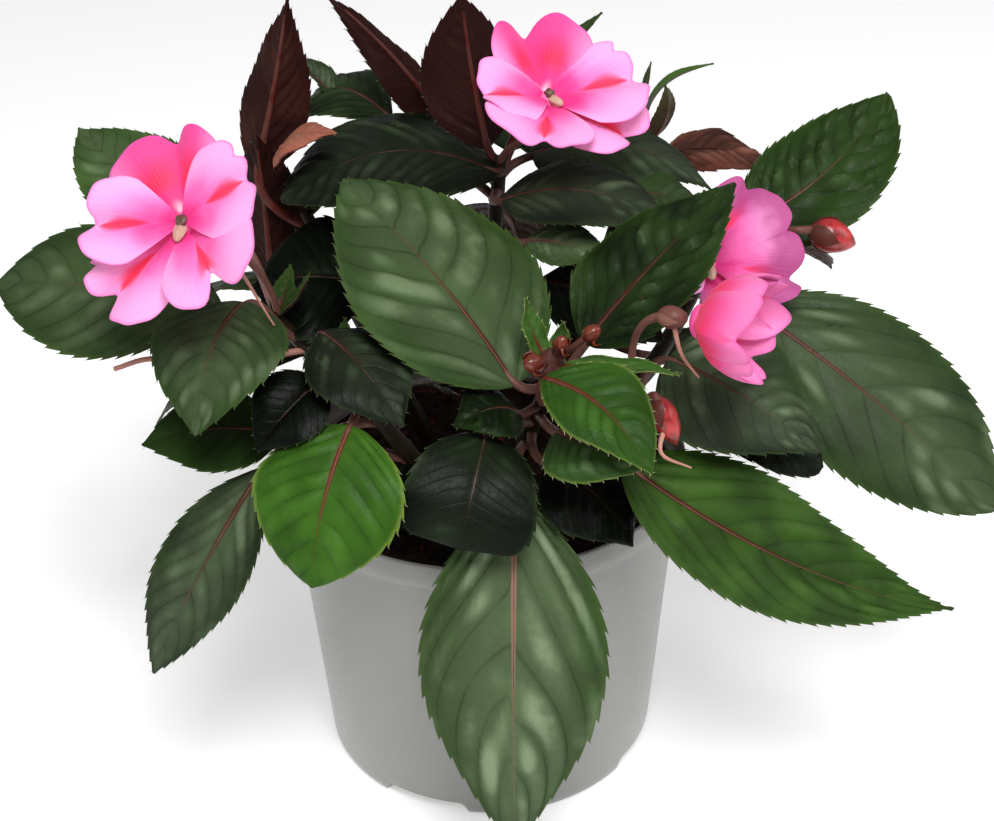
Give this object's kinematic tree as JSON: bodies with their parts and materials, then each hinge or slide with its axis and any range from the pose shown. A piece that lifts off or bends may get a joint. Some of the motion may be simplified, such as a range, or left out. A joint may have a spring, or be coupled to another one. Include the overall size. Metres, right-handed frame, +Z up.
{
  "type": "potted new guinea impatiens",
  "caption": "Bushy flowering pot plant: serrated oval leaves with red midribs, pink open blooms with red flames, round buds, in a tapered grey plastic nursery pot with soil.",
  "frame": {"origin": "centre of the pot's flat underside, on the standing surface", "axes": "+Z up, -Y towards the viewer of the picture (the plant's showing side), +X to that viewer's right"},
  "size_m": [0.3072, 0.2328, 0.244],
  "materials": {
    "pot": "satin grey plastic",
    "soil": "matt crumbly peat",
    "stem": "satin, fleshy, red-brown to green",
    "stalk": "satin, thin, pinkish brown",
    "leaf": "glossy dark green, puckered between the veins",
    "young_leaf": "glossy fresh green",
    "burgundy_leaf": "satin red-brown underside",
    "petal": "soft velvety light pink with coral-red flames",
    "bud": "satin red to orange-brown"
  },
  "bodies": {
    "root": {"bloom_cupped": "petal", "bloom_left": "petal", "bloom_right": "petal", "bloom_top": "petal", "bud_front": "bud", "bud_right": "bud", "leaf_arching_green": "leaf", "leaf_back_left_dark": "leaf", "leaf_bright_front_left": "young_leaf", "leaf_centre_big": "leaf", "leaf_centre_right": "leaf", "leaf_dark_below_centre": "leaf", "leaf_dark_centre_left": "leaf", "leaf_dark_mid_left": "leaf", "leaf_far_left": "leaf", "leaf_fold_front": "leaf", "leaf_folded_front_left": "leaf", "leaf_front_big": "leaf", "leaf_hanging_left": "leaf", "leaf_inner_front": "leaf", "leaf_inner_right": "leaf", "leaf_inner_top": "leaf", "leaf_left_low": "leaf", "leaf_left_under": "leaf", "leaf_mid_dark": "leaf", "leaf_red_mid": "burgundy_leaf", "leaf_red_right": "burgundy_leaf", "leaf_right_big": "leaf", "leaf_right_low": "leaf", "leaf_right_mid": "leaf", "leaf_right_top": "leaf", "leaf_right_under": "leaf", "leaf_small_dark": "leaf", "leaf_top_right": "leaf", "leaf_under_centre": "leaf", "leaf_upper_left": "leaf", "leaf_young_bright": "young_leaf", "leaf_young_round": "young_leaf", "leaves_red_left": "burgundy_leaf", "pot": "pot", "soil": "soil", "stalk_cupped": "stalk", "stalk_left": "stalk", "stalk_right": "stalk", "stalk_top": "stalk", "stem_back_left": "leaf", "stem_back_right": "leaf", "stem_centre": "stem", "stem_front_left": "stem", "stem_front_right": "stem", "stem_left": "leaf", "stem_right": "stem", "stem_top": "leaf", "whorl_centre": "bud"}
  },
  "joints": []
}
